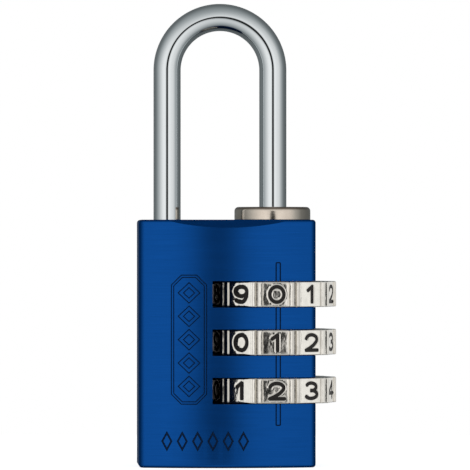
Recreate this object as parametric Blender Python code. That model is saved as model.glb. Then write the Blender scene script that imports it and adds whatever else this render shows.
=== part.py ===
"""Three-dial combination padlock with a body about 20 mm wide, each piece its own closed solid.

Frame: metres, +Z up. The origin is the middle of the flat underside. The front, with the index
line, faces -Y, and the dials and the shackle's long leg stand towards +X.
At rest the lock is closed, and its gates stand in line at the combination 0-1-2.
"""

from math import asin, atan2, cos, pi, radians, sin, sqrt

import bmesh
import bpy
import numpy as np

MM = 0.001

# Body: one piece of aluminium, with a convex front and back
BODY_WIDTH = 19.75 * MM
BODY_DEPTH = 12.6 * MM  # over the crowns of the front and the back
FACE_RADIUS = 30.0 * MM  # of the front and the back, seen from above
CORNER_RADIUS = 0.9 * MM
EDGE_BEVEL = 0.35 * MM
TOP_CHAMFER = 0.9 * MM  # flat 45 degree cut across each crown at the top
SLOT_SAW_RADIUS = 43.0 * MM  # of the saw that cuts the dial slots from the right
FLOOR = 1.9 * MM  # metal left under the dial bore
LONG_LEG_INSET = 4.58 * MM  # long leg's axis from the body's right side
SHORT_LEG_INSET = 3.28 * MM  # short leg's axis from the body's left side

# Index line, cut into the front over the dial axis
INDEX_WIDTH = 0.5 * MM
INDEX_DEPTH = 0.15 * MM
INDEX_ABOVE = 1.9 * MM  # past the top dial's slot
INDEX_BELOW = 2.3 * MM  # past the bottom dial's slot

# Shackle and the pins that lock it
WIRE = 3.05 * MM
SHACKLE_RISE = 24.25 * MM  # top of the arch above the body
SHORT_LEG_DEPTH = 4.3 * MM  # how far the short leg reaches into the body
LEG_TIP = 0.4 * MM  # chamfer at each leg's end
PIN_DIAMETER = 1.2 * MM
PIN_REACH = 1.0 * MM  # how far a pin stands out of the long leg
PIN_PLAY = 1.1 * MM  # free lift of the locked shackle
PIN_HEADROOM = 0.25 * MM  # over the top pin at full lift

# Dials: ten digit facets, with two ribs and a V groove between neighbours
DIAL_NAMES = ("bottom", "middle", "top")
DIGITS_SHOWN = (2, 1, 0)
DIGITS = 10
DIAL_RADIUS = 7.12 * MM  # over the ribs
DIAL_THICKNESS = 2.84 * MM
DIAL_EDGE = 0.22 * MM
RIB_HEIGHT = 0.37 * MM  # above the middle of a facet
RIB_WIDTH = 0.42 * MM
RIB_FLANK = 0.14 * MM
GROOVE_HALF_WIDTH = 0.20 * MM
GROOVE_DEPTH = 0.34 * MM
NOTCH_RING = 0.8 * MM  # height of the notched ring at the dial's top
WEB = 2.275 * MM  # body metal between two dial slots

# Gate sleeves, which turn with the dials
SLEEVE_WALL = 0.45 * MM
GATE_RING = 1.3 * MM
LUG_REACH = 0.5 * MM
LUG_WIDTH = 0.7 * MM
LUG_HEIGHT = 0.7 * MM

# Washers, bush, collar and springs on the dial axis
WASHER = 0.3 * MM
KEY_WIDTH = 0.9 * MM
KEY_REACH = 0.35 * MM  # keyway's depth outside the dial bore
COLLAR_LIP = 0.15 * MM  # collar's rim past the keyway
COLLAR_HEIGHT = 1.44 * MM
COLLAR_ROUND = 0.45 * MM
SPIGOT_LENGTH = 2.55 * MM
BUSH_FLANGE = 0.5 * MM
BUSH_WALL = 0.4 * MM
BUSH_TUBE = 2.45 * MM
LEG_BELOW_BUSH_TOP = 2.0 * MM  # length of the leg that the bush guides
RESET_SPRING_HEIGHT = 3.2 * MM
RESET_SPRING_WIRE = 0.4 * MM
RESET_SPRING_TURNS = 4
CLICK_LEAF = 0.18 * MM
CLICK_HEIGHT = 2.2 * MM
CLICK_HALF_LENGTH = 2.4 * MM
CLICK_POCKET = 0.7 * MM  # pocket's depth past the slot's end

# Clearances
RUNNING = 0.10 * MM  # radial, between pieces that turn or slide on each other
FREE = 0.15 * MM  # round a pin in its gate or recess
SIDE = 0.13 * MM  # each side of a dial in its slot
STACK = 0.10 * MM  # between sleeves and washers, end to end
SEAT = 0.05 * MM  # between a seated piece and what it sits on
SLOT_END = 0.38 * MM  # past a dial's ribs, at the closed end of its slot

# Sizes across the dial axis, from the wire outwards
LEG = WIRE / 2
LEG_BORE = LEG + RUNNING
RECESS = LEG + PIN_REACH + FREE + RUNNING
SLEEVE = RECESS + SLEEVE_WALL
LUG = SLEEVE + LUG_REACH
DIAL_BORE = LUG + RUNNING
DIAL_EYE = SLEEVE + RUNNING
DIAL_RELIEF = LUG + FREE
COLLAR = DIAL_BORE + KEY_REACH + COLLAR_LIP

# Heights along the dial axis, from the underside up
PITCH = DIAL_THICKNESS + 2 * SIDE + WEB
SLEEVE_HEIGHT = PITCH - WASHER - 2 * STACK
BUSH_Z = FLOOR + SEAT
SPRING_Z = BUSH_Z + BUSH_FLANGE + SEAT
THRUST_Z = SPRING_Z + RESET_SPRING_HEIGHT + SEAT
FIRST_SLEEVE_Z = THRUST_Z + WASHER + STACK
DIAL_Z = [FIRST_SLEEVE_Z + SLEEVE_HEIGHT / 2 + PITCH * i for i in range(len(DIAL_NAMES))]
PIN_DROP = GATE_RING + PIN_PLAY + PIN_DIAMETER / 2 - SLEEVE_HEIGHT / 2
SPACER_Z = DIAL_Z[-1] + SLEEVE_HEIGHT / 2 + STACK
SPACER_TOP = DIAL_Z[-1] - PIN_DROP + PIN_DIAMETER / 2 + PITCH + PIN_HEADROOM
SPIGOT_Z = SPACER_TOP + STACK
BODY_TOP = SPIGOT_Z + SPIGOT_LENGTH
LEG_END_Z = BUSH_Z + BUSH_FLANGE + BUSH_TUBE - LEG_BELOW_BUSH_TOP

# Places from left to right
AXIS_X = BODY_WIDTH / 2 - LONG_LEG_INSET
SHORT_LEG_X = SHORT_LEG_INSET - BODY_WIDTH / 2
LEG_PITCH = AXIS_X - SHORT_LEG_X
SLOT_END_X = AXIS_X - DIAL_RADIUS - SLOT_END


# ---------------------------------------------------------------- shapes and helpers


def clear_scene():
    for obj in list(bpy.data.objects):
        bpy.data.objects.remove(obj, do_unlink=True)


def finish(name, colour, roughness, metallic=1.0):
    material = bpy.data.materials.new(name)
    material.use_nodes = True
    shader = material.node_tree.nodes["Principled BSDF"]
    shader.inputs["Base Color"].default_value = (*colour, 1.0)
    shader.inputs["Roughness"].default_value = roughness
    shader.inputs["Metallic"].default_value = metallic
    return material


def place_empty(name, place):
    empty = bpy.data.objects.new(name, None)
    empty.location = place
    bpy.context.scene.collection.objects.link(empty)
    return empty


def make_object(name, points, faces, material=None, place=(0, 0, 0), parent=None):
    """A mesh object from points and faces, with its faces turned outwards."""
    mesh = bpy.data.meshes.new(name)
    mesh.from_pydata([tuple(map(float, p)) for p in points], [], faces)
    shape = bmesh.new()
    shape.from_mesh(mesh)
    bmesh.ops.recalc_face_normals(shape, faces=shape.faces)
    shape.to_mesh(mesh)
    shape.free()
    mesh.shade_smooth()
    mesh.set_sharp_from_angle(angle=radians(30))
    if material:
        mesh.materials.append(material)
    obj = bpy.data.objects.new(name, mesh)
    obj.location = place
    obj.parent = parent
    bpy.context.scene.collection.objects.link(obj)
    return obj


def stacked(loops):
    """Loops of equally many points, joined in order and capped at both ends."""
    count = len(loops[0])
    points = [p for loop in loops for p in loop]
    faces = [tuple(range(count)), tuple(range(len(points) - count, len(points)))]
    for level in range(len(loops) - 1):
        low, high = level * count, (level + 1) * count
        for i in range(count):
            j = (i + 1) % count
            faces.append((low + i, low + j, high + j, high + i))
    return points, faces


def prism(outline, z0, z1):
    return stacked([[(x, y, z) for x, y in outline] for z in (z0, z1)])


def turned(profile, sides):
    """A closed profile of (radius, height) points turned about +Z."""
    turn = [2 * pi * k / sides for k in range(sides)]
    points = [(r * cos(a), r * sin(a), z) for a in turn for r, z in profile]
    count, faces = len(profile), []
    for k in range(sides):
        here, there = k * count, (k + 1) % sides * count
        for i in range(count):
            j = (i + 1) % count
            faces.append((here + i, there + i, there + j, here + j))
    return points, faces


def swept(path, radii, sides):
    """Circles of the given radii along a path, each square to it, capped at both ends."""
    path = np.array(path, float)
    along = np.gradient(path, axis=0)
    along /= np.linalg.norm(along, axis=1)[:, None]
    across = np.cross(along[0], (0.0, 1.0, 0.0) if abs(along[0][1]) < 0.9 else (1.0, 0, 0))
    turn = np.linspace(0, 2 * pi, sides, endpoint=False)
    loops = []
    for centre, direction, radius in zip(path, along, radii):
        across = across - direction * np.dot(across, direction)
        across /= np.linalg.norm(across)
        up = np.cross(direction, across)
        ring = np.outer(np.cos(turn), across) + np.outer(np.sin(turn), up)
        loops.append(centre + radius * ring)
    return stacked(loops)


def circle(radius, sides):
    angles = [2 * pi * k / sides for k in range(sides)]
    return [(radius * cos(a), radius * sin(a)) for a in angles]


def box(x, y, z):
    """A block between two values on each axis."""
    corners = [(x[0], y[0]), (x[1], y[0]), (x[1], y[1]), (x[0], y[1])]
    return prism(corners, *z)


def keyed_circle(radius, reach, half_width, directions, sides):
    """A circle with a square key of the given reach in each direction."""
    outline, half = [], asin(half_width / radius)
    arc = 2 * pi / len(directions) - 2 * half
    steps = max(2, round(sides * arc / (2 * pi)))
    for direction in directions:
        for k in range(steps + 1):
            a = direction + half + arc * k / steps
            outline.append((radius * cos(a), radius * sin(a)))
        after = direction + 2 * pi / len(directions)
        for side in (-half_width, half_width):
            x = reach * cos(after) - side * sin(after)
            y = reach * sin(after) + side * cos(after)
            outline.append((x, y))
    return outline


def boolean(target, tool, operation):
    tool.hide_render = True
    tool.display_type = "WIRE"
    modifier = target.modifiers.new(tool.name, "BOOLEAN")
    modifier.operation = operation
    modifier.solver = "EXACT"
    modifier.object = tool


def cut(target, name, shape, place=(0, 0, 0), parent=None):
    boolean(target, make_object(name, *shape, place=place, parent=parent), "DIFFERENCE")


def add(target, name, shape, place=(0, 0, 0), parent=None):
    boolean(target, make_object(name, *shape, place=place, parent=parent), "UNION")


# ---------------------------------------------------------------- body


def body_outline():
    """Seen from above: two wide arcs, flat sides, and a round corner tangent to both."""
    face_y = FACE_RADIUS - BODY_DEPTH / 2
    corner_x = BODY_WIDTH / 2 - CORNER_RADIUS
    corner_y = face_y - sqrt((FACE_RADIUS - CORNER_RADIUS) ** 2 - corner_x**2)
    meet = atan2(corner_y - face_y, corner_x)
    quarter = []
    for a in np.linspace(-pi / 2, meet, 9)[:-1]:
        quarter.append((FACE_RADIUS * cos(a), face_y + FACE_RADIUS * sin(a)))
    for a in np.linspace(meet, 0, 6):
        quarter.append((corner_x + CORNER_RADIUS * cos(a), corner_y + CORNER_RADIUS * sin(a)))
    front = quarter[1:]
    right = quarter + [(x, -y) for x, y in reversed(front)]
    left = [(-x, -y) for x, y in quarter] + [(-x, y) for x, y in reversed(front)]
    return right + left


def make_body_case(material, axis):
    """The body: sawn slots and a keyed bore for the dials, and a blind bore for the short leg."""
    past = 1.0 * MM
    body = make_object("body_case", *prism(body_outline(), 0, BODY_TOP), material)
    bevel = body.modifiers.new("edges", "BEVEL")
    bevel.width = EDGE_BEVEL
    bevel.segments = 2
    bevel.limit_method = "ANGLE"
    bevel.angle_limit = radians(40)

    wide, half_depth = BODY_WIDTH, BODY_DEPTH / 2
    for name, side in (("front", -1), ("back", 1)):
        section = [
            (side * (half_depth + past), BODY_TOP - TOP_CHAMFER - past),
            (side * (half_depth - TOP_CHAMFER - past), BODY_TOP + past),
            (side * (half_depth + past), BODY_TOP + past),
        ]
        wedge = stacked([[(x, y, z) for y, z in section] for x in (-wide, wide)])
        cut(body, f"cut_chamfer_{name}", wedge)

    half_slot = DIAL_THICKNESS / 2 + SIDE
    sweep = asin((half_depth + past) / SLOT_SAW_RADIUS)
    saw_x = SLOT_END_X + SLOT_SAW_RADIUS
    slot = [
        (saw_x - SLOT_SAW_RADIUS * cos(a), SLOT_SAW_RADIUS * sin(a))
        for a in np.linspace(sweep, -sweep, 9)
    ]
    slot += [(wide, -half_depth - past), (wide, half_depth + past)]
    pocket_y = CLICK_HALF_LENGTH + 2 * FREE
    half_click = CLICK_HEIGHT / 2 + FREE
    for name, z in zip(DIAL_NAMES, DIAL_Z):
        cut(body, f"cut_slot_{name}", prism(slot, z - half_slot, z + half_slot))
        pocket = box(
            (SLOT_END_X - CLICK_POCKET, SLOT_END_X + past),
            (-pocket_y, pocket_y),
            (z - half_click, z + half_click),
        )
        cut(body, f"cut_click_pocket_{name}", pocket)

    half_key = KEY_WIDTH / 2 + RUNNING / 2
    bore = keyed_circle(DIAL_BORE, DIAL_BORE + KEY_REACH, half_key, [pi], 48)
    cut(body, "cut_dial_bore", prism(bore, FLOOR, BODY_TOP + past), parent=axis)

    leg_bore = prism(circle(LEG_BORE, 32), BODY_TOP - SHORT_LEG_DEPTH - SEAT, BODY_TOP + past)
    cut(body, "cut_short_leg_bore", leg_bore, place=(SHORT_LEG_X, 0, 0))

    front_y = FACE_RADIUS - half_depth - sqrt(FACE_RADIUS**2 - AXIS_X**2)
    index = box(
        (AXIS_X - INDEX_WIDTH / 2, AXIS_X + INDEX_WIDTH / 2),
        (front_y - past, front_y + INDEX_DEPTH),
        (DIAL_Z[0] - half_slot - INDEX_BELOW, DIAL_Z[-1] + half_slot + INDEX_ABOVE),
    )
    cut(body, "cut_index_line", index)


# ---------------------------------------------------------------- shackle and locking pins


def make_shackle(material, axis):
    """One bent wire. Its frame's origin is on the long leg's axis, level with the body's top."""
    bend = LEG_PITCH / 2
    spring_line = SHACKLE_RISE - WIRE / 2 - bend
    long_end = LEG_END_Z - BODY_TOP
    arch = [
        (-bend + bend * cos(a), 0, spring_line + bend * sin(a)) for a in np.linspace(0, pi, 29)
    ]
    path = [(0, 0, long_end), (0, 0, long_end + LEG_TIP), *arch]
    path += [(-LEG_PITCH, 0, LEG_TIP - SHORT_LEG_DEPTH), (-LEG_PITCH, 0, -SHORT_LEG_DEPTH)]
    radii = [LEG - LEG_TIP] + [LEG] * (len(path) - 2) + [LEG - LEG_TIP]
    return make_object("shackle", *swept(path, radii, 24), material, parent=axis)


def make_locking_pins(material, axis, shackle):
    """Pins pressed through the long leg, one under each dial's gate ring, all facing +X."""
    for name, z in zip(DIAL_NAMES, DIAL_Z):
        height = z - PIN_DROP - BODY_TOP
        near, far = -LEG + RUNNING, LEG + PIN_REACH
        pin = swept([(near, 0, 0), (far, 0, 0)], [PIN_DIAMETER / 2] * 2, 16)
        place = (0, 0, height)
        make_object(f"locking_pin_{name}", *pin, material, place=place, parent=axis)
        hole = swept([(-WIRE, 0, 0), (WIRE, 0, 0)], [PIN_DIAMETER / 2 + SEAT] * 2, 16)
        cut(shackle, f"cut_pin_hole_{name}", hole, place=place, parent=axis)


# ---------------------------------------------------------------- dials and gate sleeves


def dial_outline(inset):
    """Ten facets, each followed by a rib, a V groove and a rib. Inset draws it in all round."""
    rib, facet = DIAL_RADIUS - inset, DIAL_RADIUS - RIB_HEIGHT - inset
    half = pi / DIGITS
    groove = GROOVE_HALF_WIDTH / DIAL_RADIUS
    shoulder = groove + RIB_WIDTH / DIAL_RADIUS
    foot = shoulder + RIB_FLANK / DIAL_RADIUS
    edge = facet / cos(half - foot)
    steps = [
        (foot - half, edge),
        (half - foot, edge),
        (half - shoulder, rib),
        (half - groove, rib),
        (half, rib - GROOVE_DEPTH),
        (half + groove, rib),
        (half + shoulder, rib),
    ]
    outline = []
    for digit in range(DIGITS):
        middle = 2 * half * digit - pi / 2
        outline += [(r * cos(middle + a), r * sin(middle + a)) for a, r in steps]
    return outline


def make_dial(name, z, digit, material, axis):
    """A dial with a notched ring at the top of its bore, turned so that its digit shows."""
    half = DIAL_THICKNESS / 2
    levels = ((-half, DIAL_EDGE), (DIAL_EDGE - half, 0), (half - DIAL_EDGE, 0), (half, DIAL_EDGE))
    loops = [[(x, y, level) for x, y in dial_outline(inset)] for level, inset in levels]
    place = (0, 0, z)
    dial = make_object(f"dial_wheel_{name}", *stacked(loops), material, place, axis)
    dial.rotation_euler.z = -digit * 2 * pi / DIGITS
    relief = prism(circle(DIAL_RELIEF, 48), -DIAL_THICKNESS, half - NOTCH_RING)
    cut(dial, f"cut_dial_relief_{name}", relief, place, axis)
    notches = [2 * pi * k / DIGITS + pi / 2 for k in range(DIGITS)]
    half_notch = LUG_WIDTH / 2 + RUNNING
    eye = keyed_circle(DIAL_EYE, DIAL_RELIEF, half_notch, notches, 40)
    cut(dial, f"cut_dial_eye_{name}", prism(eye, -DIAL_THICKNESS, DIAL_THICKNESS), place, axis)


def make_gate_sleeve(name, z, material, axis):
    """A cup with a gate ring at its top, whose gate faces +X, and two lugs for the dial."""
    top, past = SLEEVE_HEIGHT / 2, 0.5 * MM
    under_ring = top - GATE_RING
    profile = [
        (LEG_BORE, under_ring),
        (RECESS, under_ring),
        (RECESS, -top),
        (SLEEVE, -top),
        (SLEEVE, top),
        (LEG_BORE, top),
    ]
    place = (0, 0, z)
    sleeve = make_object(f"gate_sleeve_{name}", *turned(profile, 40), material, place, axis)
    half_gate = PIN_DIAMETER / 2 + FREE
    gate = box((0, RECESS), (-half_gate, half_gate), (under_ring - past, top + past))
    cut(sleeve, f"cut_gate_{name}", gate, place, axis)
    lug_z = DIAL_THICKNESS / 2 - (NOTCH_RING - LUG_HEIGHT) / 2
    for side, y in (("front", (-LUG, -RECESS - FREE)), ("back", (RECESS + FREE, LUG))):
        lug = box((-LUG_WIDTH / 2, LUG_WIDTH / 2), y, (lug_z - LUG_HEIGHT, lug_z))
        add(sleeve, f"add_lug_{side}_{name}", lug, place, axis)


# ---------------------------------------------------------------- washers, bush, collar


def make_separator(name, z, material, axis):
    """A thin keyed washer that stops one sleeve from dragging the next."""
    reach = DIAL_BORE + KEY_REACH - RUNNING
    outline = keyed_circle(LUG, reach, KEY_WIDTH / 2 - RUNNING / 2, [pi], 40)
    place = (0, 0, z)
    washer = make_object(f"separator_{name}", *prism(outline, 0, WASHER), material, place, axis)
    hole = prism(circle(RECESS, 40), -WASHER, 2 * WASHER)
    cut(washer, f"cut_separator_{name}", hole, place, axis)


def make_thrust_washer(material, axis):
    inner = LEG_BORE + BUSH_WALL + 2 * FREE
    profile = [(inner, 0), (LUG, 0), (LUG, WASHER), (inner, WASHER)]
    make_object("thrust_washer", *turned(profile, 40), material, (0, 0, THRUST_Z), axis)


def make_spacer_tube(material, axis):
    """Holds the dial pack down, and leaves the top pin its room at full lift."""
    height = SPACER_TOP - SPACER_Z
    profile = [(RECESS, 0), (LUG, 0), (LUG, height), (RECESS, height)]
    make_object("spacer_tube", *turned(profile, 40), material, (0, 0, SPACER_Z), axis)


def make_pilot_bush(material, axis):
    """Guides the long leg's end and seats the reset spring."""
    tube = LEG_BORE + BUSH_WALL
    height = BUSH_FLANGE + BUSH_TUBE
    profile = [
        (LEG_BORE, 0),
        (LUG, 0),
        (LUG, BUSH_FLANGE),
        (tube, BUSH_FLANGE),
        (tube, height),
        (LEG_BORE, height),
    ]
    make_object("pilot_bush", *turned(profile, 40), material, (0, 0, BUSH_Z), axis)


def make_collar(material, axis):
    """The pressed collar that closes the dial bore: a spigot under a rim with a round edge."""
    rim_z = BODY_TOP + SEAT - SPIGOT_Z
    top = rim_z + COLLAR_HEIGHT - SEAT
    profile = [(LEG_BORE, 0), (LUG, 0), (LUG, rim_z), (COLLAR, rim_z)]
    for a in np.linspace(0, pi / 2, 5):
        r = COLLAR - COLLAR_ROUND + COLLAR_ROUND * cos(a)
        profile.append((r, top - COLLAR_ROUND + COLLAR_ROUND * sin(a)))
    profile.append((LEG_BORE, top))
    make_object("collar", *turned(profile, 48), material, (0, 0, SPIGOT_Z), axis)


# ---------------------------------------------------------------- springs


def make_reset_spring(material, axis):
    wire = RESET_SPRING_WIRE / 2
    radius = LUG - 2 * FREE - wire
    steps = RESET_SPRING_TURNS * 20
    path = []
    for k in range(steps + 1):
        a = 2 * pi * RESET_SPRING_TURNS * k / steps
        z = wire + SEAT + (RESET_SPRING_HEIGHT - 2 * wire - 2 * SEAT) * k / steps
        path.append((radius * cos(a), radius * sin(a), z))
    shape = swept(path, [wire] * len(path), 6)
    make_object("reset_spring", *shape, material, (0, 0, SPRING_Z), axis)


def make_click_spring(name, z, material):
    """A bent leaf in a pocket at the slot's closed end. Its tip sits in the dial's V groove."""
    back = SLOT_END_X - CLICK_POCKET + SEAT + CLICK_LEAF / 2
    tip = AXIS_X - DIAL_RADIUS + GROOVE_DEPTH - FREE - CLICK_LEAF / 2
    knee = AXIS_X - DIAL_RADIUS - 2 * FREE - CLICK_LEAF / 2
    side = 2 * GROOVE_HALF_WIDTH
    half = [(tip, 0.0), (knee, side / 2), (knee - FREE, side), (back, CLICK_HALF_LENGTH)]
    middle = np.array([(x, -y) for x, y in reversed(half[1:])] + half)
    along = np.gradient(middle, axis=0)
    along /= np.linalg.norm(along, axis=1)[:, None]
    off = np.column_stack([-along[:, 1], along[:, 0]]) * CLICK_LEAF / 2
    outline = [*(middle + off), *(middle - off)[::-1]]
    shape = prism(outline, -CLICK_HEIGHT / 2, CLICK_HEIGHT / 2)
    make_object(f"click_spring_{name}", *shape, material, (0, 0, z))


# ---------------------------------------------------------------- the lock


def build():
    clear_scene()
    blue = finish("blue_anodised_aluminium", (0.006, 0.045, 0.2), 0.38)
    chrome = finish("polished_steel", (0.72, 0.73, 0.74), 0.12)
    nickel = finish("satin_nickel", (0.72, 0.69, 0.65), 0.28)
    champagne = finish("plated_brass", (0.5, 0.42, 0.35), 0.3)
    brass = finish("brass", (0.72, 0.52, 0.24), 0.35)
    steel = finish("spring_steel", (0.45, 0.45, 0.46), 0.35)

    axis = place_empty("dial_axis", (AXIS_X, 0, 0))
    lift = place_empty("shackle_axis", (AXIS_X, 0, BODY_TOP))

    make_body_case(blue, axis)
    shackle = make_shackle(chrome, lift)
    make_locking_pins(steel, lift, shackle)
    for name, z, digit in zip(DIAL_NAMES, DIAL_Z, DIGITS_SHOWN):
        make_dial(name, z, digit, nickel, axis)
        make_gate_sleeve(name, z, brass, axis)
        make_click_spring(name, z, steel)
    for name, z in zip(("lower", "upper"), DIAL_Z):
        make_separator(name, z + SLEEVE_HEIGHT / 2 + STACK, steel, axis)
    make_thrust_washer(steel, axis)
    make_spacer_tube(brass, axis)
    make_pilot_bush(brass, axis)
    make_collar(champagne, axis)
    make_reset_spring(steel, axis)


build()
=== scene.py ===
from math import asin, cos, pi, radians, sin

import bpy
import numpy as np
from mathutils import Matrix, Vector


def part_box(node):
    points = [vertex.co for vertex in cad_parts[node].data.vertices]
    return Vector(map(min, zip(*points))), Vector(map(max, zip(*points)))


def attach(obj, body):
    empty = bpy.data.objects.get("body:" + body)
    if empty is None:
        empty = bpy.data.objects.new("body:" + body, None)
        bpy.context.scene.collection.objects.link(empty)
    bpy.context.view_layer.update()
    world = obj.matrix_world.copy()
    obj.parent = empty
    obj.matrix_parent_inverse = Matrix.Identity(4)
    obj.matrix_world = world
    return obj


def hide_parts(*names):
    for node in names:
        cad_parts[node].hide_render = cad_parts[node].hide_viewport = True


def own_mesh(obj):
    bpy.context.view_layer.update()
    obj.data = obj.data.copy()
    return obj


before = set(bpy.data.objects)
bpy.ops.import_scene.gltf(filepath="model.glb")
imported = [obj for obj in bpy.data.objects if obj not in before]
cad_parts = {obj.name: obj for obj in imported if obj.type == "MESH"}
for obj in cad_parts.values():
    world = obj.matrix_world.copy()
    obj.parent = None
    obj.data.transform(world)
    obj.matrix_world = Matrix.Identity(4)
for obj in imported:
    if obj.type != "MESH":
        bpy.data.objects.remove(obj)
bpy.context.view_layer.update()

mm = 0.001

# ---------------------------------------------------------------- body
# The body is one block of aluminium, convex at the front and the back, anodised blue over a fine
# sidewise brushing. A flat cut runs across each crown at the top. Three slots, open to the right,
# take the dials, and the lines on the front are scribed by a laser.

face_radius = 30.0 * mm
corner_radius = 0.9 * mm
edge_radius = 0.35 * mm
top_chamfer = 0.9 * mm

body_low, body_high = (np.array(corner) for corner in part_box("body_case"))
collar_low, collar_high = (np.array(corner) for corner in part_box("collar"))
axis_x = (collar_low[0] + collar_high[0]) / 2
half_width = body_high[0]
half_depth = body_high[1]
body_top = body_high[2]
face_centre = face_radius - half_depth


def front_y(x):
    """Depth of the front surface at x: a circle of face_radius round an upright line."""
    return face_centre - np.sqrt(face_radius**2 - x**2)


def facing_out(points, faces):
    """The faces of a closed skin, all turned round if the volume they enclose is negative."""
    volume = 0.0
    for face in faces:
        corners = points[face]
        volume += np.sum(np.cross(corners[1:-1], corners[2:]) @ corners[0])
    return faces if volume > 0 else [face[::-1] for face in faces]


def new_piece(name, points, faces, materials, face_slots=None):
    """A mesh object at the origin. face_slots gives each face's row in materials."""
    points = np.asarray(points).reshape(-1, 3)
    mesh = bpy.data.meshes.new(name)
    mesh.from_pydata(points.tolist(), [], facing_out(points, faces))
    for material in materials:
        mesh.materials.append(material)
    if face_slots is not None:
        mesh.polygons.foreach_set("material_index", face_slots)
    piece = bpy.data.objects.new(name, mesh)
    bpy.context.scene.collection.objects.link(piece)
    return piece


def grid_faces(rows, columns, along=False):
    """Quads of a grid of points, closed round its columns and, if along, round its rows too."""
    index = np.arange(rows * columns).reshape(rows, columns)
    if along:
        index = np.vstack([index, index[:1]])
    index = np.hstack([index, index[:, :1]])
    quads = np.stack([index[:-1, :-1], index[:-1, 1:], index[1:, 1:], index[1:, :-1]], axis=-1)
    return quads.reshape(-1, 4).tolist()


def capped(grid):
    """Faces of a closed skin: a grid of rings with a flat cap on the first and the last."""
    rows, columns = grid.shape[:2]
    first = list(range(columns))
    last = list(range((rows - 1) * columns, rows * columns))
    return grid_faces(rows, columns) + [first[::-1], last]


def carve(piece, cutter, crossing=False):
    """Takes the cutter out of the piece, keeping the cutter's finish on the new faces."""
    modifier = piece.modifiers.new("carve", "BOOLEAN")
    modifier.operation = "DIFFERENCE"
    modifier.solver = "EXACT"
    modifier.use_self = crossing
    modifier.material_mode = "TRANSFER"
    modifier.object = cutter
    bpy.context.view_layer.update()
    graph = bpy.context.evaluated_depsgraph_get()
    carved = bpy.data.meshes.new_from_object(piece.evaluated_get(graph))
    piece.modifiers.clear()
    old = piece.data
    piece.data = carved
    carved.name = old.name
    bpy.data.meshes.remove(old)
    bpy.data.objects.remove(cutter, do_unlink=True)


def finish_piece(piece, body, node, smooth=35):
    """Smooths a finished piece, hangs it on its body and hides the CAD part it stands for."""
    piece.data.shade_smooth()
    piece.data.set_sharp_from_angle(angle=radians(smooth))
    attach(piece, body)
    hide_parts(node)


def block(x, y, z):
    """Points and faces of a rectangular block between two values on each axis."""
    ring = np.array([(x[0], y[0]), (x[1], y[0]), (x[1], y[1]), (x[0], y[1])])
    grid = np.stack([np.column_stack([ring, np.full(4, level)]) for level in z])
    return grid, capped(grid)


def joined(shapes):
    """Several (points, faces) in one list of points and one of faces."""
    points, faces, start = [], [], 0
    for grid, quads in shapes:
        flat = grid.reshape(-1, 3)
        points.append(flat)
        faces += [[start + i for i in face] for face in facing_out(flat, quads)]
        start += len(flat)
    return np.vstack(points), faces


def node_tree(name):
    """A new material's nodes, its links, and its Principled shader."""
    material = bpy.data.materials.new(name)
    material.use_nodes = True
    tree = material.node_tree
    return material, tree.nodes, tree.links, tree.nodes["Principled BSDF"]


def streaks(nodes, links, scale, detail):
    """Noise in Object coordinates, scaled by a different amount along each axis."""
    coords = nodes.new("ShaderNodeTexCoord")
    mapping = nodes.new("ShaderNodeMapping")
    mapping.inputs["Scale"].default_value = scale
    noise = nodes.new("ShaderNodeTexNoise")
    noise.inputs["Scale"].default_value = 1.0
    noise.inputs["Detail"].default_value = detail
    links.new(coords.outputs["Object"], mapping.inputs["Vector"])
    links.new(mapping.outputs["Vector"], noise.inputs["Vector"])
    return noise.outputs["Fac"]


def between(nodes, links, factor, low, high):
    """Maps the middle part of a noise to a range of numbers."""
    spread = nodes.new("ShaderNodeMapRange")
    spread.inputs["From Min"].default_value = 0.3
    spread.inputs["From Max"].default_value = 0.7
    spread.inputs["To Min"].default_value = low
    spread.inputs["To Max"].default_value = high
    links.new(factor, spread.inputs["Value"])
    return spread.outputs["Result"]


def tint(nodes, links, factor, low, high):
    """Mixes two colours by a noise."""
    mix = nodes.new("ShaderNodeMix")
    mix.data_type = "RGBA"
    mix.inputs["A"].default_value = (*low, 1.0)
    mix.inputs["B"].default_value = (*high, 1.0)
    links.new(between(nodes, links, factor, 0.0, 1.0), mix.inputs["Factor"])
    return mix.outputs["Result"]


def bumped(nodes, links, height, shader, distance):
    """A bump of the given depth in metres."""
    bump = nodes.new("ShaderNodeBump")
    bump.inputs["Strength"].default_value = 1.0
    bump.inputs["Distance"].default_value = distance
    links.new(height, bump.inputs["Height"])
    links.new(bump.outputs["Normal"], shader.inputs["Normal"])


def anodised_blue():
    """Deep blue metal with fine level brushing, which spreads a reflection up and down."""
    material, nodes, links, shader = node_tree("anodised_blue")
    shader.inputs["Metallic"].default_value = 1.0
    shader.inputs["Anisotropic"].default_value = 0.3
    fine = streaks(nodes, links, (220, 220, 11000), 6.0)
    broad = streaks(nodes, links, (60, 60, 1300), 4.0)
    deep, bright = (0.0040, 0.062, 0.262), (0.0050, 0.072, 0.302)
    links.new(tint(nodes, links, fine, deep, bright), shader.inputs["Base Color"])
    links.new(between(nodes, links, broad, 0.25, 0.265), shader.inputs["Roughness"])
    shader.inputs["Specular Tint"].default_value = (0.35, 0.55, 0.85, 1.0)
    bumped(nodes, links, fine, shader, 0.0014 * mm)
    tangent = nodes.new("ShaderNodeTangent")
    tangent.direction_type = "RADIAL"
    tangent.axis = "Z"
    links.new(tangent.outputs["Tangent"], shader.inputs["Tangent"])
    return material


def scribed_blue():
    """The scribed grooves: the blue made darker and matt."""
    material, nodes, links, shader = node_tree("scribed_blue")
    shader.inputs["Metallic"].default_value = 0.8
    grain = streaks(nodes, links, (6000, 6000, 6000), 2.0)
    deep, bright = (0.0005, 0.009, 0.036), (0.001, 0.018, 0.065)
    links.new(tint(nodes, links, grain, deep, bright), shader.inputs["Base Color"])
    shader.inputs["Roughness"].default_value = 0.6
    bumped(nodes, links, grain, shader, 0.006 * mm)
    return material


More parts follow.
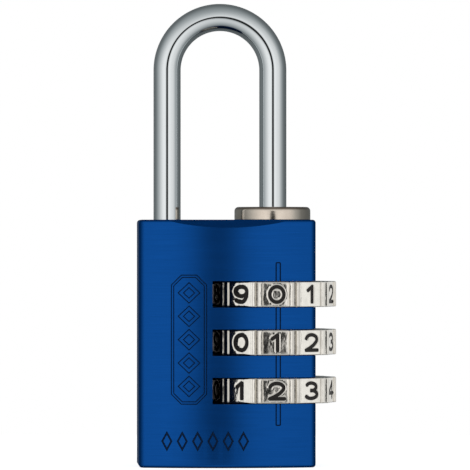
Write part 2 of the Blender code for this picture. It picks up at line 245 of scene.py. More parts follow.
def slot_blue():
    """The slots' walls, the bores and the flat ends: a deeper, duller blue with saw marks."""
    material, nodes, links, shader = node_tree("slot_blue")
    shader.inputs["Metallic"].default_value = 0.5
    shader.inputs["Specular IOR Level"].default_value = 0.1
    shader.inputs["Roughness"].default_value = 0.65
    saw = streaks(nodes, links, (3500, 500, 3500), 3.0)
    deep, bright = (0.0015, 0.012, 0.045), (0.003, 0.022, 0.08)
    links.new(tint(nodes, links, saw, deep, bright), shader.inputs["Base Color"])
    bumped(nodes, links, saw, shader, 0.006 * mm)
    return material


def body_outline(face_steps, corner_steps):
    """Arcs that share their tangents: each point is a centre plus a radius along its normal."""
    corner_x = half_width - corner_radius
    meet = asin(corner_x / (face_radius - corner_radius))
    corner_y = (face_radius - corner_radius) * cos(meet) - face_centre
    face = np.linspace(-meet, meet, face_steps, endpoint=False) - pi / 2
    turn = np.linspace(meet - pi / 2, 0, corner_steps)
    angles = [face, turn, -turn[::-1], face + pi, pi + turn, pi - turn[::-1]]
    centres = [(0, face_centre), (corner_x, -corner_y), (corner_x, corner_y)]
    centres += [(-x, -y) for x, y in centres]
    radii = [face_radius, corner_radius, corner_radius] * 2
    normals = np.concatenate([np.column_stack([np.cos(a), np.sin(a)]) for a in angles])
    middles = np.concatenate([np.tile(c, (len(a), 1)) for a, c in zip(angles, centres)])
    reach = np.concatenate([np.full(len(a), r) for a, r in zip(angles, radii)])
    return middles + reach[:, None] * normals, normals


blue, scribed, sawn = anodised_blue(), scribed_blue(), slot_blue()

outline, outward = body_outline(230, 12)
turn = np.linspace(0, pi / 2, 7)
rise = edge_radius * (1 - np.cos(turn))
inset = edge_radius * (1 - np.sin(turn))
heights = np.concatenate([body_low[2] + rise, body_top - rise[::-1]])
insets = np.concatenate([inset, inset[::-1]])
rings = outline[None] - insets[:, None, None] * outward[None]
skin = np.dstack([rings, np.broadcast_to(heights[:, None], rings.shape[:2])])
faces = capped(skin)
# the flat ends are sawn, and all else is anodised
ends_dull = [0] * (len(faces) - 2) + [1, 1]
body = new_piece("body_shell", skin, faces, [blue, sawn], face_slots=ends_dull)

# the flat cuts across the tops of the crowns. Every cutter reaches past the metal.
past = 1.0 * mm
wedges = []
for side in (-1, 1):
    section = np.array(
        [
            (side * (half_depth + past), body_top - top_chamfer - past),
            (side * (half_depth - top_chamfer - past), body_top + past),
            (side * (half_depth + past), body_top + past),
        ]
    )
    ends = (-half_width - past, half_width + past)
    wedge = np.stack([np.column_stack([np.full(3, x), section]) for x in ends])
    wedges.append((wedge, capped(wedge)))
carve(body, new_piece("wedges", *joined(wedges), [blue]))

dial_names = ("top", "middle", "bottom")
slot_gap = 0.06 * mm
slot_end = 0.38 * mm
saw_radius = 43.0 * mm
pocket_room = 0.1 * mm


def saw_cut(x, z):
    """Points and faces of a slot open to the right, whose end at x is an arc of saw_radius."""
    sweep = asin((half_depth + past) / saw_radius)
    turn = np.linspace(sweep, -sweep, 33)
    arc = np.column_stack([x + saw_radius * (1 - np.cos(turn)), saw_radius * np.sin(turn)])
    mouth = half_width + past
    ring = np.vstack([arc, [(mouth, -half_depth - past), (mouth, half_depth + past)]])
    grid = np.stack([np.column_stack([ring, np.full(len(ring), level)]) for level in z])
    return grid, capped(grid)


slots, pockets = [], []
for name in dial_names:
    low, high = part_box(f"dial_wheel_{name}")
    spring_low, spring_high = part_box(f"click_spring_{name}")
    slots.append(saw_cut(low[0] - slot_end, (low[2] - slot_gap, high[2] + slot_gap)))
    pockets.append(
        block(
            (spring_low[0] - pocket_room, low[0]),
            (spring_low[1] - 2 * pocket_room, spring_high[1] + 2 * pocket_room),
            (spring_low[2] - pocket_room, spring_high[2] + pocket_room),
        )
    )
carve(body, new_piece("slots", *joined(slots), [sawn]))


def upright_hole(x, radius, low, high, sides=96):
    """Points and faces of an upright round bar on the middle plane."""
    turn = np.linspace(0, 2 * pi, sides, endpoint=False)
    ring = np.column_stack([x + radius * np.cos(turn), radius * np.sin(turn)])
    grid = np.stack([np.column_stack([ring, np.full(sides, z)]) for z in (low, high)])
    return grid, capped(grid)


wire_low, wire_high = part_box("shackle")
wire = 3.05 * mm
leg_room = 0.1 * mm
short_x = wire_low[0] + wire / 2
tube_low, tube_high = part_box("spacer_tube")
tube_radius = (tube_high[0] - tube_low[0]) / 2
bore_gap, bush_gap = 0.1 * mm, 0.05 * mm
bore_radius = tube_radius + bore_gap
bore_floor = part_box("pilot_bush")[0][2] - bush_gap
short_depth = 4.35 * mm
short_floor = body_top - short_depth
holes = [
    upright_hole(axis_x, bore_radius, bore_floor, body_top + past),
    upright_hole(short_x, wire / 2 + leg_room, short_floor, body_top + past, sides=64),
]
carve(body, new_piece("bores", *joined(holes + pockets), [sawn]))


scribe_depth = 0.07 * mm


def scribe(path, width, depth=scribe_depth):
    """A closed groove along a path in x and z, with a trapezium for its section.

    Each corner is the path's point moved sideways along the mitre by its share of half the
    width, at the front's own depth there plus the corner's depth.
    """
    ahead = np.roll(path, -1, axis=0) - path
    ahead /= np.linalg.norm(ahead, axis=1)[:, None]
    behind = np.roll(ahead, 1, axis=0)
    side = np.column_stack([-(ahead + behind)[:, 1], (ahead + behind)[:, 0]])
    square = np.column_stack([-ahead[:, 1], ahead[:, 0]])
    side /= np.sum(side * square, axis=1)[:, None]
    # (share of half the width, depth): a little wider over the face, and narrower at the floor
    section = [(-1.1, -0.1 * mm), (1.1, -0.1 * mm), (0.55, depth), (-0.55, depth)]
    grid = []
    for across, sink in section:
        edge = path + side * across * width / 2
        grid.append(np.column_stack([edge[:, 0], front_y(edge[:, 0]) + sink, edge[:, 1]]))
    grid = np.stack(grid)
    return grid, grid_faces(*grid.shape[:2], along=True)


def polygon(corners, step=0.25 * mm):
    """A closed outline through the corners, with points added along its sides."""
    corners = np.array(corners, float)
    sides = []
    for start, end in zip(corners, np.roll(corners, -1, axis=0)):
        count = max(1, int(np.ceil(abs(end[0] - start[0]) / step)))
        sides.append(start + (end - start) * np.arange(count)[:, None] / count)
    return np.concatenate(sides)


def cut_corner_frame(x, z, width, height, corner):
    """A rectangle with its corners cut off, round a middle."""
    w, h = width / 2, height / 2
    points = [(w, corner - h), (w, h - corner), (w - corner, h), (corner - w, h)]
    points += [(-a, -b) for a, b in points]
    return polygon([(x + a, z + b) for a, b in points])


def lozenge(x, z, w, h):
    """Corners of a lozenge of half width w and half height h round a middle."""
    return [(x + w, z), (x, z + h), (x - w, z), (x, z - h)]


scribes = []
# the index line: a long narrow frame over the dial axis
index_x = axis_x + 0.3 * mm
index_width, index_corner = 0.47 * mm, 0.06 * mm
index_line, index_depth = 0.17 * mm, 0.1 * mm
index_low, index_high = 4.75 * mm, 22.85 * mm
index_middle, index_height = (index_low + index_high) / 2, index_high - index_low
index_frame = cut_corner_frame(index_x, index_middle, index_width, index_height, index_corner)
scribes.append(scribe(index_frame, index_line, depth=index_depth))
# a plain badge: a double frame with cut corners round a column of lozenges
badge_x, badge_z = -4.35 * mm, 14.3 * mm
badge_width, badge_height, badge_corner = 3.9 * mm, 14.35 * mm, 1.1 * mm
badge_line, badge_step = 0.14 * mm, 0.26 * mm
for inset in (0, badge_step):
    size = badge_width - 2 * inset, badge_height - 2 * inset, badge_corner - 0.6 * inset
    scribes.append(scribe(cut_corner_frame(badge_x, badge_z, *size), badge_line))
lozenges, lozenge_pitch = 5, 2.6 * mm
large, small = (1.2 * mm, 1.14 * mm), (0.62 * mm, 0.59 * mm)
for k in range(lozenges):
    z = badge_z + (k - (lozenges - 1) / 2) * lozenge_pitch
    for w, h in (large, small):
        scribes.append(scribe(polygon(lozenge(badge_x, z, w, h)), badge_line))
# a row of bolder lozenges under it
row_x, row_z, row_pitch = -6.8 * mm, 3.0 * mm, 1.7 * mm
row_width, row_height = 0.5 * mm, 0.92 * mm
row_line, row_depth = 0.26 * mm, 0.08 * mm
for k in range(6):
    corners = lozenge(row_x + k * row_pitch, row_z, row_width, row_height)
    scribes.append(scribe(polygon(corners, step=row_width), row_line, depth=row_depth))
carve(body, new_piece("scribed_lines", *joined(scribes), [scribed]))
finish_piece(body, "case", "body_case", smooth=30)

# ---------------------------------------------------------------- shackle
# One drawn steel wire bent to a U and plated bright. The long leg runs down through the collar
# and the dials, and the short leg drops into its own bore.

leg_tip = 0.4 * mm
tip_gap = 0.05 * mm


def bright_plate():
    """Polished plating over drawn wire: faint lengthwise lines and a trace of haze."""
    material, nodes, links, shader = node_tree("bright_plate")
    shader.inputs["Metallic"].default_value = 1.0
    shader.inputs["Base Color"].default_value = (0.69, 0.72, 0.73, 1.0)
    drawn = streaks(nodes, links, (1500, 1500, 120), 3.0)
    haze = streaks(nodes, links, (400, 400, 400), 3.0)
    links.new(between(nodes, links, haze, 0.03, 0.06), shader.inputs["Roughness"])
    bumped(nodes, links, drawn, shader, 0.0012 * mm)
    return material


def wire_path():
    """Up the long leg, round a half circle, and down the short leg, with each ring's radius."""
    bend = (axis_x - short_x) / 2
    middle = (axis_x + short_x) / 2
    spring_line = wire_high[2] - wire / 2 - bend
    turn = np.linspace(0, pi, 73)
    arch = np.column_stack(
        [middle + bend * np.cos(turn), 0 * turn, spring_line + bend * np.sin(turn)]
    )
    tip = np.linspace(0, 1, 4)[:, None] * (0, 0, leg_tip)
    long_end = np.array([axis_x, 0, wire_low[2]])
    short_end = np.array([short_x, 0, short_floor + tip_gap])
    path = np.vstack([long_end + tip, arch, (short_end + tip)[::-1]])
    taper = np.linspace(wire / 2 - leg_tip, wire / 2, 4)
    radii = np.concatenate([taper, np.full(len(arch), wire / 2), taper[::-1]])
    return path, radii


def swept(path, radii, sides):
    """Rings square to a path in the plane y = 0.

    Each point is the path's point plus the radius times cosine of the turn along y, plus the
    radius times its sine along the path's normal in the plane.
    """
    along = np.gradient(path, axis=0)
    along /= np.linalg.norm(along, axis=1)[:, None]
    level = np.array([0.0, 1.0, 0.0])
    other = np.cross(along, level)
    turn = np.linspace(0, 2 * pi, sides, endpoint=False)
    ring = np.cos(turn)[:, None] * level + np.sin(turn)[:, None] * other[:, None]
    return path[:, None] + radii[:, None, None] * ring


path, radii = wire_path()
tube = swept(path, radii, 56)
shackle = new_piece("shackle_wire", tube, capped(tube), [bright_plate()])
finish_piece(shackle, "shackle", "shackle")

# ---------------------------------------------------------------- collar
# A turned brass collar, plated a warm brownish nickel and pressed into the body round the long
# leg. Its rim has a rolled upper edge and a small countersink at the hole.

rim_round, foot_edge = 0.45 * mm, 0.02 * mm
rim_inset, rim_shift, rim_lift = 0.06 * mm, 0.05 * mm, 0.01 * mm
hole_radius = wire / 2 + leg_room
hole_edge = 0.15 * mm


def brown_nickel():
    """Turned and plated brass: fine rings round its axis, and a warm mottle."""
    material, nodes, links, shader = node_tree("brown_nickel")
    shader.inputs["Metallic"].default_value = 1.0
    rings = streaks(nodes, links, (120, 120, 7000), 3.0)
    mottle = streaks(nodes, links, (900, 900, 900), 4.0)
    brown, pale = (0.62, 0.54, 0.46), (0.72, 0.64, 0.55)
    links.new(tint(nodes, links, mottle, brown, pale), shader.inputs["Base Color"])
    links.new(between(nodes, links, mottle, 0.11, 0.16), shader.inputs["Roughness"])
    bumped(nodes, links, rings, shader, 0.0015 * mm)
    return material


def shaded_rolled_edge():
    """The upper part of the collar's rolled edge in a darker brown: painted shade."""
    material, nodes, links, shader = node_tree("shaded_rolled_edge")
    shader.inputs["Metallic"].default_value = 1.0
    mottle = streaks(nodes, links, (900, 900, 900), 4.0)
    brown, pale = (0.34, 0.26, 0.205), (0.44, 0.34, 0.275)
    links.new(tint(nodes, links, mottle, brown, pale), shader.inputs["Base Color"])
    shader.inputs["Roughness"].default_value = 0.16
    return material


def turned(profile, x, sides):
    """A closed profile turned about an upright axis at x.

    Each point is x plus radius times cosine, radius times sine, and the profile's height.
    """
    turn = np.linspace(0, 2 * pi, sides, endpoint=False)
    radius, height = np.array(profile).T
    grid = np.stack(
        [
            x + radius[:, None] * np.cos(turn),
            radius[:, None] * np.sin(turn),
            np.broadcast_to(height[:, None], (len(radius), sides)),
        ],
        axis=-1,
    )
    return grid, grid_faces(*grid.shape[:2], along=True)


rim_radius = (collar_high[0] - collar_low[0]) / 2 - rim_inset
rim_x = axis_x - rim_shift
rim_bottom = body_top + rim_lift
roll = np.linspace(0, pi / 2, 9)
profile = [(hole_radius, collar_low[2]), (tube_radius, collar_low[2]), (tube_radius, rim_bottom)]
profile += [(rim_radius - foot_edge, rim_bottom), (rim_radius, rim_bottom + foot_edge)]
sides, edge_start = 128, len(profile) + 2
profile += [
    (rim_radius - rim_round * (1 - cos(a)), collar_high[2] - rim_round * (1 - sin(a))) for a in roll
]
profile += [(hole_radius + hole_edge, collar_high[2]), (hole_radius, collar_high[2] - hole_edge)]
# painted shade: the upper part of the roll takes the darker brown colour
shade_on_edge = np.zeros(len(profile), int)
shade_on_edge[edge_start : edge_start + 6] = 1
shade_on_edge = np.repeat(shade_on_edge, sides)
# the second finish is painted shade on the top of the roll
finishes = [brown_nickel(), shaded_rolled_edge()]
collar = new_piece("collar_rim", *turned(profile, rim_x, sides), finishes, face_slots=shade_on_edge)
finish_piece(collar, "case", "collar")

# ---------------------------------------------------------------- dials
# Three die-cast dials, plated in satin nickel. Each has ten flat facets with a sunk digit, filled
# with black paint, and between neighbouring facets two ribs with a V groove.

digits = 10
rib_radius = 7.12 * mm
rib_height = 0.37 * mm
rib_band = 0.76 * mm
dial_eye = 3.3 * mm
eye_room = 0.05 * mm
notch_ring = 0.8 * mm
notch_half = 0.47 * mm
dial_edge = 0.14 * mm
facet_crown = 0.02 * mm
digit_width, digit_height = 1.66 * mm, 1.71 * mm
stroke = 0.41 * mm
digit_shift = 0.1 * mm
lip_width, lip_depth = 0.09 * mm, 0.035 * mm
digit_depth, floor_draft = 0.085 * mm, 0.02 * mm
pen_step, pen_rise, least_half = 0.12 * mm, 0.1 * mm, 0.01 * mm
cap_start = radians(12)
shown = {"top": 0, "middle": 1, "bottom": 2}


def satin_nickel():
    """Plated die casting: soft dents, faint polishing marks and patches of haze."""
    material, nodes, links, shader = node_tree("satin_nickel")
    shader.inputs["Metallic"].default_value = 1.0
    mottle = streaks(nodes, links, (1300, 1300, 1300), 4.0)
    dents = streaks(nodes, links, (1500, 1500, 900), 2.5)
    dull, clean = (0.59, 0.563, 0.515), (0.67, 0.641, 0.587)
    links.new(tint(nodes, links, mottle, dull, clean), shader.inputs["Base Color"])
    links.new(between(nodes, links, mottle, 0.10, 0.17), shader.inputs["Roughness"])
    bumped(nodes, links, dents, shader, 0.035 * mm)
    return material


def painted_groove_shade():
    """Painted shade at the bottom of a V groove: a dark colour in patches, standing in for the shade
    there.
    """
    material, nodes, links, shader = node_tree("painted_groove_shade")
    shader.inputs["Metallic"].default_value = 0.7
    patches = streaks(nodes, links, (1500, 1500, 2600), 4.0)
    shade_dark, bare = (0.08, 0.07, 0.062), (0.5, 0.47, 0.43)
    links.new(tint(nodes, links, patches, shade_dark, bare), shader.inputs["Base Color"])
    links.new(between(nodes, links, patches, 0.6, 0.35), shader.inputs["Roughness"])
    bumped(nodes, links, patches, shader, 0.01 * mm)
    return material


def black_paint():
    """Paint wiped into the sunk digits, with a slight grain."""
    material, nodes, links, shader = node_tree("black_paint")
    grain = streaks(nodes, links, (5000, 5000, 5000), 2.0)
    deep, dusty = (0.006, 0.0045, 0.004), (0.014, 0.011, 0.009)
    links.new(tint(nodes, links, grain, deep, dusty), shader.inputs["Base Color"])
    shader.inputs["Roughness"].default_value = 0.55
    shader.inputs["Specular IOR Level"].default_value = 0.25
    bumped(nodes, links, grain, shader, 0.01 * mm)
    return material


def dial_skin(half):
    """Rows from the bore's foot round the rim to the notched eye, closed along and around.

    A facet's radius is apothem / cos(angle), plus a crown that falls off with the tenth power
    of the distance from the facet's middle.
    """
    step = 2 * pi / digits
    facet = rib_radius - rib_height - facet_crown
    flat = step / 2 - rib_band / rib_radius
    # (distance from the V groove's middle, height over the facet) across one rib
    rib = [(0.76, 0), (0.73, 0.22), (0.68, 0.34), (0.61, 0.37), (0.22, 0.37), (0.17, 0.35)]
    rib = np.array(rib + [(0.12, 0.28), (0.06, 0.17), (0.0, 0.12)]) * mm
    side_angle = step / 2 - rib[:, 0] / rib_radius
    side_radius = rib_radius - rib_height + rib[:, 1]
    side_radius[0] = facet / cos(flat)
    face_angle = flat * np.sin(np.linspace(-pi / 2, pi / 2, 23))[1:-1]
    angle = np.concatenate([-side_angle[::-1], face_angle, side_angle[:-1]])
    radius = np.concatenate([side_radius[::-1], facet / np.cos(face_angle), side_radius[:-1]])
    on_face = np.abs(angle) < flat * 1.0001
    bulge = np.where(on_face, 1 - (angle / flat) ** 10, 0.0)
    around = (np.arange(digits)[:, None] * step + angle - pi / 2).ravel()
    rim = np.tile(radius + facet_crown * bulge, digits)

    relief = bore_radius + eye_room
    notch = np.abs((around + pi / 2 + step / 2) % step - step / 2) < notch_half / dial_eye
    inner = np.where(notch, relief, dial_eye)
    ring = half - notch_ring
    curve = np.linspace(0, pi / 2, 5)
    straight = half - dial_edge
    rows = [(np.full_like(rim, relief), -half)]
    rows += [(rim - dial_edge * (1 - sin(a)), -half + dial_edge * (1 - cos(a))) for a in curve]
    for z in np.linspace(-straight, straight, 9)[1:-1]:
        rows.append((rim, z))
    rows += [(rim - dial_edge * (1 - sin(a)), half - dial_edge * (1 - cos(a))) for a in curve[::-1]]
    rows += [(inner, half), (inner, ring), (np.full_like(rim, relief), ring)]
    grid = np.stack(
        [np.column_stack([r * np.cos(around), r * np.sin(around), np.full_like(r, z)]) for r, z in rows]
    )
    faces = grid_faces(*grid.shape[:2], along=True)
    # painted shade: the faces at the bottom of each V groove take the dark groove colour
    column = np.arange(len(around)) % len(angle)
    in_groove = (column < 1) | (column >= len(angle) - 1)
    ink_and_shade_slots = np.zeros((len(rows), len(around)), int)
    ink_and_shade_slots[len(curve) : len(rows) - len(curve) - 3] = np.where(in_groove, 2, 0)
    return grid, faces, ink_and_shade_slots.ravel()


def bow(x, y, across, up, start, end, steps=22):
    """Part of an ellipse, from one angle to another in degrees."""
    a = np.radians(np.linspace(start, end, steps))
    return np.column_stack([x + across * np.cos(a), y + up * np.sin(a)])


def line(*corners):
    """A stroke straight from corner to corner."""
    return np.array(corners, float)


# Strokes in a box from -1 to 1 each way. A bend sharper than the pen is two strokes that meet.
strokes = {
    0: [bow(0, 0, 0.95, 1, 0, 352, 40)],
    1: [line((-0.62, 0.5), (0.1, 1)), line((0.1, 1), (0.1, -1))],
    2: [
        np.vstack(
            [bow(0, 0.4, 0.92, 0.6, 168, -32), line((0.4, -0.3), (-0.3, -0.72), (-0.95, -1))]
        ),
        line((-0.95, -1), (1, -1)),
    ],
    3: [bow(-0.05, 0.5, 0.85, 0.5, 150, -90), bow(-0.05, -0.48, 1, 0.52, 90, -150)],
    4: [line((0.45, 1), (-1, -0.4)), line((-1, -0.4), (1, -0.4)), line((0.45, 1), (0.45, -1))],
    5: [
        line((0.85, 1), (-0.7, 1)),
        line((-0.7, 1), (-0.85, 0.08)),
        bow(-0.02, -0.34, 0.98, 0.66, 148, -150),
    ],
    6: [
        bow(0, -0.38, 0.94, 0.62, 0, 352, 36),
        np.vstack([bow(0, -0.2, 0.94, 1.2, 180, 92), bow(0, 0.55, 0.92, 0.45, 90, 32)]),
    ],
    7: [line((-0.95, 1), (0.95, 1)), line((0.95, 1), (-0.3, -1))],
    8: [bow(0, 0.52, 0.78, 0.48, 0, 352, 32), bow(0, -0.48, 0.98, 0.54, 0, 352, 32)],
    9: [
        bow(0, 0.38, 0.94, 0.62, 0, 352, 36),
        np.vstack([bow(0, 0.2, 0.94, 1.2, 0, -88), bow(0, -0.55, 0.92, 0.45, -90, -148)]),
    ],
}


def pen_cut(path):
    """A trench along a path on a flat facet, with round ends: (across, up, out) points.

    Each point is the path's point plus or minus the half width along its sideways direction.
    Over a round end the half width is half the stroke times the sine of the cap's angle.
    """
    path = path * (digit_width / 2, digit_height / 2) + (digit_shift, 0)
    lengths = np.linalg.norm(np.diff(path, axis=0), axis=1)
    count = np.maximum(2, np.ceil(lengths / pen_step))
    knots = np.concatenate([[0], np.cumsum(count)])
    fine = np.arange(knots[-1] + 1)
    path = np.column_stack([np.interp(fine, knots, path[:, k]) for k in (0, 1)])
    along = np.gradient(path, axis=0)
    along /= np.linalg.norm(along, axis=1)[:, None]
    swing = np.linspace(cap_start, pi / 2, 6)
    cap = stroke / 2 * np.cos(swing)
    start = path[0] - cap[:, None] * along[0]
    end = path[-1] + cap[::-1, None] * along[-1]
    middle = np.vstack([start, path, end])
    ends = len(swing), 1
    along = np.vstack([np.tile(along[0], ends), along, np.tile(along[-1], ends)])
    half = np.concatenate([np.sin(swing), np.ones(len(path)), np.sin(swing[::-1])]) * stroke / 2
    side = np.column_stack([-along[:, 1], along[:, 0]])
    section = [
        (lip_width, pen_rise),
        (lip_width, facet_crown),
        (0, facet_crown - lip_depth),
        (-floor_draft, facet_crown - digit_depth),
    ]
    columns = []
    for sign, walls in ((1, section), (-1, section[::-1])):
        for w, z in walls:
            reach = sign * np.maximum(half + w, least_half)
            edge = middle + side * reach[:, None]
            columns.append(np.column_stack([edge, np.full(len(middle), z)]))
    return np.stack(columns, axis=1)


def digit_cutter():
    """All ten digits as trenches on their facets, with plated lips and painted floors.

    A point is the facet's radius plus its height along the facet's outward direction, plus its
    across part along the facet's right, plus its up part along z.
    """
    facet = rib_radius - rib_height - facet_crown
    shapes, face_slots = [], []
    for digit, pens in strokes.items():
        a = 2 * pi * digit / digits - pi / 2
        out, right = np.array([cos(a), sin(a), 0]), np.array([-sin(a), cos(a), 0])
        for pen in pens:
            trench = pen_cut(pen)
            place = (facet + trench[..., 2:]) * out + trench[..., :1] * right
            place = place + trench[..., 1:2] * np.array([0, 0, 1.0])
            # from the lips down the trench is painted, and so are its ends
            ink_and_shade_slots = np.zeros((len(place) - 1, trench.shape[1]), int)
            ink_and_shade_slots[:, 2:5] = 1
            shapes.append((place, capped(place)))
            face_slots += [*ink_and_shade_slots.ravel(), 1, 1]
    return joined(shapes), face_slots


# the third finish is painted shade for the bottoms of the V grooves
nickel, ink, groove_shade = satin_nickel(), black_paint(), painted_groove_shade()
low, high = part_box("dial_wheel_top")
half = (high[2] - low[2]) / 2
points, faces, groove_shade_slots = dial_skin(half)
master = new_piece("dial_master", points, faces, [nickel, ink, groove_shade], face_slots=groove_shade_slots)
(points, faces), ink_and_shade_slots = digit_cutter()
trenches = new_piece("digit_cutter", points, faces, [nickel, ink], face_slots=ink_and_shade_slots)
carve(master, trenches, crossing=True)
for name in dial_names:
    low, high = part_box(f"dial_wheel_{name}")
    dial = bpy.data.objects.new(f"dial_{name}", master.data.copy())
    bpy.context.scene.collection.objects.link(dial)
    turn = -2 * pi * shown[name] / digits
    points = np.empty(len(dial.data.vertices) * 3)
    dial.data.vertices.foreach_get("co", points)
    points = points.reshape(-1, 3)
    spin = np.array([[cos(turn), sin(turn), 0], [-sin(turn), cos(turn), 0], [0, 0, 1]])
    points = points @ spin + (axis_x, 0, (low[2] + high[2]) / 2)
    dial.data.vertices.foreach_set("co", points.ravel())
    finish_piece(dial, f"dial_{name}", f"dial_wheel_{name}", smooth=28)
bpy.data.objects.remove(master, do_unlink=True)

# ---------------------------------------------------------------- reset spring
# A coil of hard drawn steel wire that stands on the pilot bush. It holds the sleeves up in the
# dials, and it shortens as they come down when a new code is set.

spring_wire, spring_turns = 0.4 * mm, 4
coil_low, coil_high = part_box("reset_spring")
coil_height = coil_high[2] - coil_low[2]
coil_radius = (coil_high[0] - coil_low[0] - spring_wire) / 2


def spring_steel():
    """Hard drawn steel, grey and faintly scored."""
    material, nodes, links, shader = node_tree("spring_steel")
    shader.inputs["Metallic"].default_value = 1.0
    marks = streaks(nodes, links, (3000, 3000, 700), 3.0)
    dark, light = (0.32, 0.32, 0.33), (0.50, 0.50, 0.51)
    links.new(tint(nodes, links, marks, dark, light), shader.inputs["Base Color"])
    links.new(between(nodes, links, marks, 0.28, 0.42), shader.inputs["Roughness"])
    bumped(nodes, links, marks, shader, 0.002 * mm)
    return material


def wound_wire(steps=160, sides=14):
    """A helix of even pitch, with a round section square to it.

    The middle of the wire is the coil's radius turned about the axis, and it climbs in step
    with the turn. A ring is cosine outward plus sine upward, times half the wire.
    """
    turn = np.linspace(0, 2 * pi * spring_turns, steps + 1)
    outward = np.column_stack([np.cos(turn), np.sin(turn), 0 * turn])
    climb = np.linspace(0, coil_height - spring_wire, steps + 1)
    middle = coil_radius * outward + (axis_x, 0, coil_low[2] + spring_wire / 2)
    middle[:, 2] += climb
    along = np.gradient(middle, axis=0)
    along /= np.linalg.norm(along, axis=1)[:, None]
    upward = np.cross(along, outward)
    around = np.linspace(0, 2 * pi, sides, endpoint=False)[:, None]
    ring = np.cos(around) * outward[:, None] + np.sin(around) * upward[:, None]
    return middle[:, None] + spring_wire / 2 * ring


steel = spring_steel()
coil = wound_wire()
spring = new_piece("reset_coil", coil, capped(coil), [steel])
finish_piece(spring, "case", "reset_spring", smooth=60)
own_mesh(spring)

# ---------------------------------------------------------------- inside
# The sleeves, bush and spacer are turned from brass, and the pins, washers and click springs are
# steel. They stay as they were designed, and only get the finish of turned brass or drawn steel.


def turned_brass():
    """Plain brass with fine rings from the lathe."""
    material, nodes, links, shader = node_tree("turned_brass")
    shader.inputs["Metallic"].default_value = 1.0
    marks = streaks(nodes, links, (200, 200, 5000), 3.0)
    dark, light = (0.62, 0.42, 0.17), (0.78, 0.56, 0.27)
    links.new(tint(nodes, links, marks, dark, light), shader.inputs["Base Color"])
    links.new(between(nodes, links, marks, 0.24, 0.36), shader.inputs["Roughness"])
    bumped(nodes, links, marks, shader, 0.003 * mm)
    return material


brass = turned_brass()
brass_nodes = ["spacer_tube", "pilot_bush"] + [f"gate_sleeve_{name}" for name in dial_names]
steel_nodes = ["separator_upper", "separator_lower", "thrust_washer"]
steel_nodes += [f"{kind}_{name}" for kind in ("locking_pin", "click_spring") for name in dial_names]
for nodes_of, material in ((brass_nodes, brass), (steel_nodes, steel)):
    for node in nodes_of:
        for place in bpy.data.objects[node].material_slots:
            place.material = material

# ---------------------------------------------------------------- studio
# A small pale table top, lit from inside, in a light tent with a hole for the lens. Four cards,
# one at each side and two in front, light the dials alone.

table_radius, table_thickness, table_gap = 95.0 * mm, 2 * mm, 0.02 * mm
turn = np.linspace(0, 2 * pi, 96, endpoint=False)
edge = np.column_stack([table_radius * np.cos(turn), table_radius * np.sin(turn)])
levels = (body_low[2] - table_thickness, body_low[2] - table_gap)
disc = np.stack([np.column_stack([edge, np.full(len(edge), z)]) for z in levels])
material, nodes, links, shader = node_tree("lit_table")
shader.inputs["Base Color"].default_value = (0.93, 0.93, 0.93, 1.0)
shader.inputs["Roughness"].default_value = 0.7
shader.inputs["Emission Color"].default_value = (1.0, 1.0, 1.0, 1.0)
shader.inputs["Emission Strength"].default_value = 0.8
floor = new_piece("table_top", disc, capped(disc), [material])
floor.data.shade_smooth()
floor.data.set_sharp_from_angle(angle=radians(35))
floor.visible_glossy = False

view_azimuth = -2.6


def softbox(name, centre, facing, width, height, radiance, lit):
    """A rectangular lamp that shines on the pieces in lit only, as if flagged off the rest."""
    lamp = bpy.data.lights.new(name, "AREA")
    lamp.shape = "RECTANGLE"
    lamp.size, lamp.size_y = width, height
    lamp.energy = radiance * pi * width * height
    holder = bpy.data.objects.new(name, lamp)
    bpy.context.scene.collection.objects.link(holder)
    holder.location = centre
    holder.rotation_euler = Vector(facing).to_track_quat("-Z", "Y").to_euler()
    holder.visible_camera = False
    receivers = bpy.data.collections.new(name)
    for piece in lit:
        receivers.objects.link(piece)
    holder.light_linking.receiver_collection = receivers


dial_pieces = [bpy.data.objects[f"dial_{name}"] for name in dial_names]
dial_height = (body_low[2] + body_high[2]) / 2
right, left = (42 * mm, 20 * mm, dial_height), (-42 * mm, -25 * mm, dial_height)
card_height = 60 * mm
softbox("right_card", right, (-1, -0.1, 0), 90 * mm, card_height, 0.8, dial_pieces)
softbox("left_card", left, (1, 0, 0), 34 * mm, card_height, 0.6, dial_pieces)
front_distance, front_width = 150 * mm, 52 * mm
for name, bearing in (("front_right_card", 18), ("front_left_card", -23)):
    toward = np.array([sin(radians(bearing)), -cos(radians(bearing)), 0.0])
    stand = np.array([axis_x, 0.0, dial_height]) + front_distance * toward
    softbox(name, stand, -toward, front_width, card_height, 0.35, dial_pieces)

world = bpy.data.worlds.new("light_tent")
bpy.context.scene.world = world
world.use_nodes = True
nodes, links = world.node_tree.nodes, world.node_tree.links
nodes.clear()


def math(operation, *values):
    """A Math node on numbers or sockets."""
    node = nodes.new("ShaderNodeMath")
    node.operation = operation
    for socket, value in zip(node.inputs, values):
        if isinstance(value, (int, float)):
            socket.default_value = value
        else:
            links.new(value, socket)
    return node.outputs[0]


def bright_ramp(angle, stops):
    """Brightness by the angle in degrees from the lens, as a ramp over 0 to 180."""
    ramp = nodes.new("ShaderNodeValToRGB")
    links.new(math("DIVIDE", angle, pi), ramp.inputs["Fac"])
    elements = ramp.color_ramp.elements
    for k, (degrees, value) in enumerate(stops):
        stop = elements[k] if k < 2 else elements.new(degrees / 180)
        stop.position = degrees / 180
        tone = value / brightest
        # the dim far side of the tent is a little cooler than its lit front
        cool = 0.12 * max(0.0, 1 - value / 0.9)
        stop.color = (tone * (1 - cool), tone, tone * (1 + 0.3 * cool), 1.0)
    return ramp.outputs["Color"]


def blend_colours(factor, low, high):
    """Mixes two colour sockets."""
    mix = nodes.new("ShaderNodeMix")
    mix.data_type = "RGBA"
    links.new(factor, mix.inputs["Factor"])
    links.new(low, mix.inputs["A"])
    links.new(high, mix.inputs["B"])
    return mix.outputs["Result"]


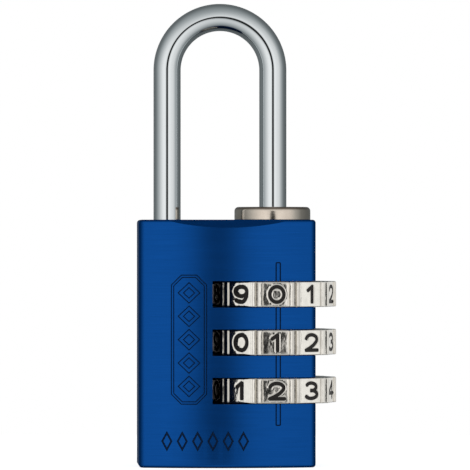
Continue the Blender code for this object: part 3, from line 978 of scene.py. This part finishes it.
# (degrees from the lens, brightness): brightest round the lens, with the lens itself as a small
# dark hole, dimmer towards the sides and dark behind.
lens = (0, 0.015)
tent_left = [lens, (5.6, 0.02), (8.8, 0.95), (20, 1.14), (35, 1.06), (54, 0.8), (73, 0.55)]
tent_left += [(97, 0.3), (115, 0.2), (180, 0.16)]
tent_right = [lens, (7.0, 0.02), (10.2, 0.9), (18, 1.13), (28, 1.05), (36, 0.99), (54, 0.9)]
tent_right += [(74, 0.53), (98, 0.24), (128, 0.15), (180, 0.13)]
tent_above = [lens, (6.2, 0.02), (9.4, 0.95), (20, 0.78), (50, 0.48), (69, 0.38), (91, 0.28)]
tent_above += [(118, 0.17), (180, 0.15)]
tent_below = [lens, (8.6, 0.02), (12.8, 0.6), (22, 0.8), (36, 0.74), (55, 0.5), (66, 0.36)]
tent_below += [(80, 0.12), (100, 0.08), (130, 0.14), (180, 0.14)]
brightest = max(value for _, value in tent_left + tent_right)
coords = nodes.new("ShaderNodeTexCoord")
split = nodes.new("ShaderNodeSeparateXYZ")
links.new(coords.outputs["Generated"], split.inputs["Vector"])
east, north, rise = split.outputs
turn = radians(view_azimuth)


def along_bearing(x, y):
    """The direction's share along a level bearing."""
    return math("ADD", math("MULTIPLY", east, x), math("MULTIPLY", north, y))


ahead = along_bearing(sin(turn), -cos(turn))
aside = along_bearing(cos(turn), sin(turn))
angle = math("ARCCOSINE", math("MINIMUM", math("MAXIMUM", ahead, -1.0), 1.0))
rise_squared, aside_squared = math("POWER", rise, 2.0), math("POWER", aside, 2.0)
off_lens = math("MAXIMUM", math("ADD", rise_squared, aside_squared), 1e-6)
steep = math("DIVIDE", rise_squared, off_lens)
to_right, upwards = math("GREATER_THAN", aside, 0.0), math("GREATER_THAN", rise, 0.0)
level = blend_colours(to_right, bright_ramp(angle, tent_left), bright_ramp(angle, tent_right))
upright = blend_colours(upwards, bright_ramp(angle, tent_below), bright_ramp(angle, tent_above))
tent = nodes.new("ShaderNodeBackground")
tent.inputs["Strength"].default_value = brightest
links.new(blend_colours(steep, level, upright), tent.inputs["Color"])
white = nodes.new("ShaderNodeBackground")
white.inputs["Color"].default_value = (1.0, 1.0, 1.0, 1.0)
white.inputs["Strength"].default_value = 1.0
path_of = nodes.new("ShaderNodeLightPath")
choose = nodes.new("ShaderNodeMixShader")
links.new(path_of.outputs["Is Camera Ray"], choose.inputs["Fac"])
links.new(tent.outputs["Background"], choose.inputs[1])
links.new(white.outputs["Background"], choose.inputs[2])
sky = nodes.new("ShaderNodeOutputWorld")
links.new(choose.outputs["Shader"], sky.inputs["Surface"])
bpy.context.scene.view_settings.view_transform = "Standard"

# ---------------------------------------------------------------- camera
# A long lens, a little to the left of the lock and nearly level with the top of its body.

view_distance = 600.0 * mm
view_width = 52.81 * mm
aim = np.array([1.04 * mm, 0.0, 25.94 * mm])
bearing_angle = radians(view_azimuth)
eye = aim + view_distance * np.array([sin(bearing_angle), -cos(bearing_angle), 0.0])
camera_data = bpy.data.cameras.new("camera")
camera_data.sensor_width = 36.0
camera_data.lens = 36.0 * view_distance / view_width
camera_data.clip_start = 0.01
camera = bpy.data.objects.new("camera", camera_data)
bpy.context.scene.collection.objects.link(camera)
camera.location = eye
camera.rotation_euler = Vector(aim - eye).to_track_quat("-Z", "Y").to_euler()
bpy.context.scene.camera = camera
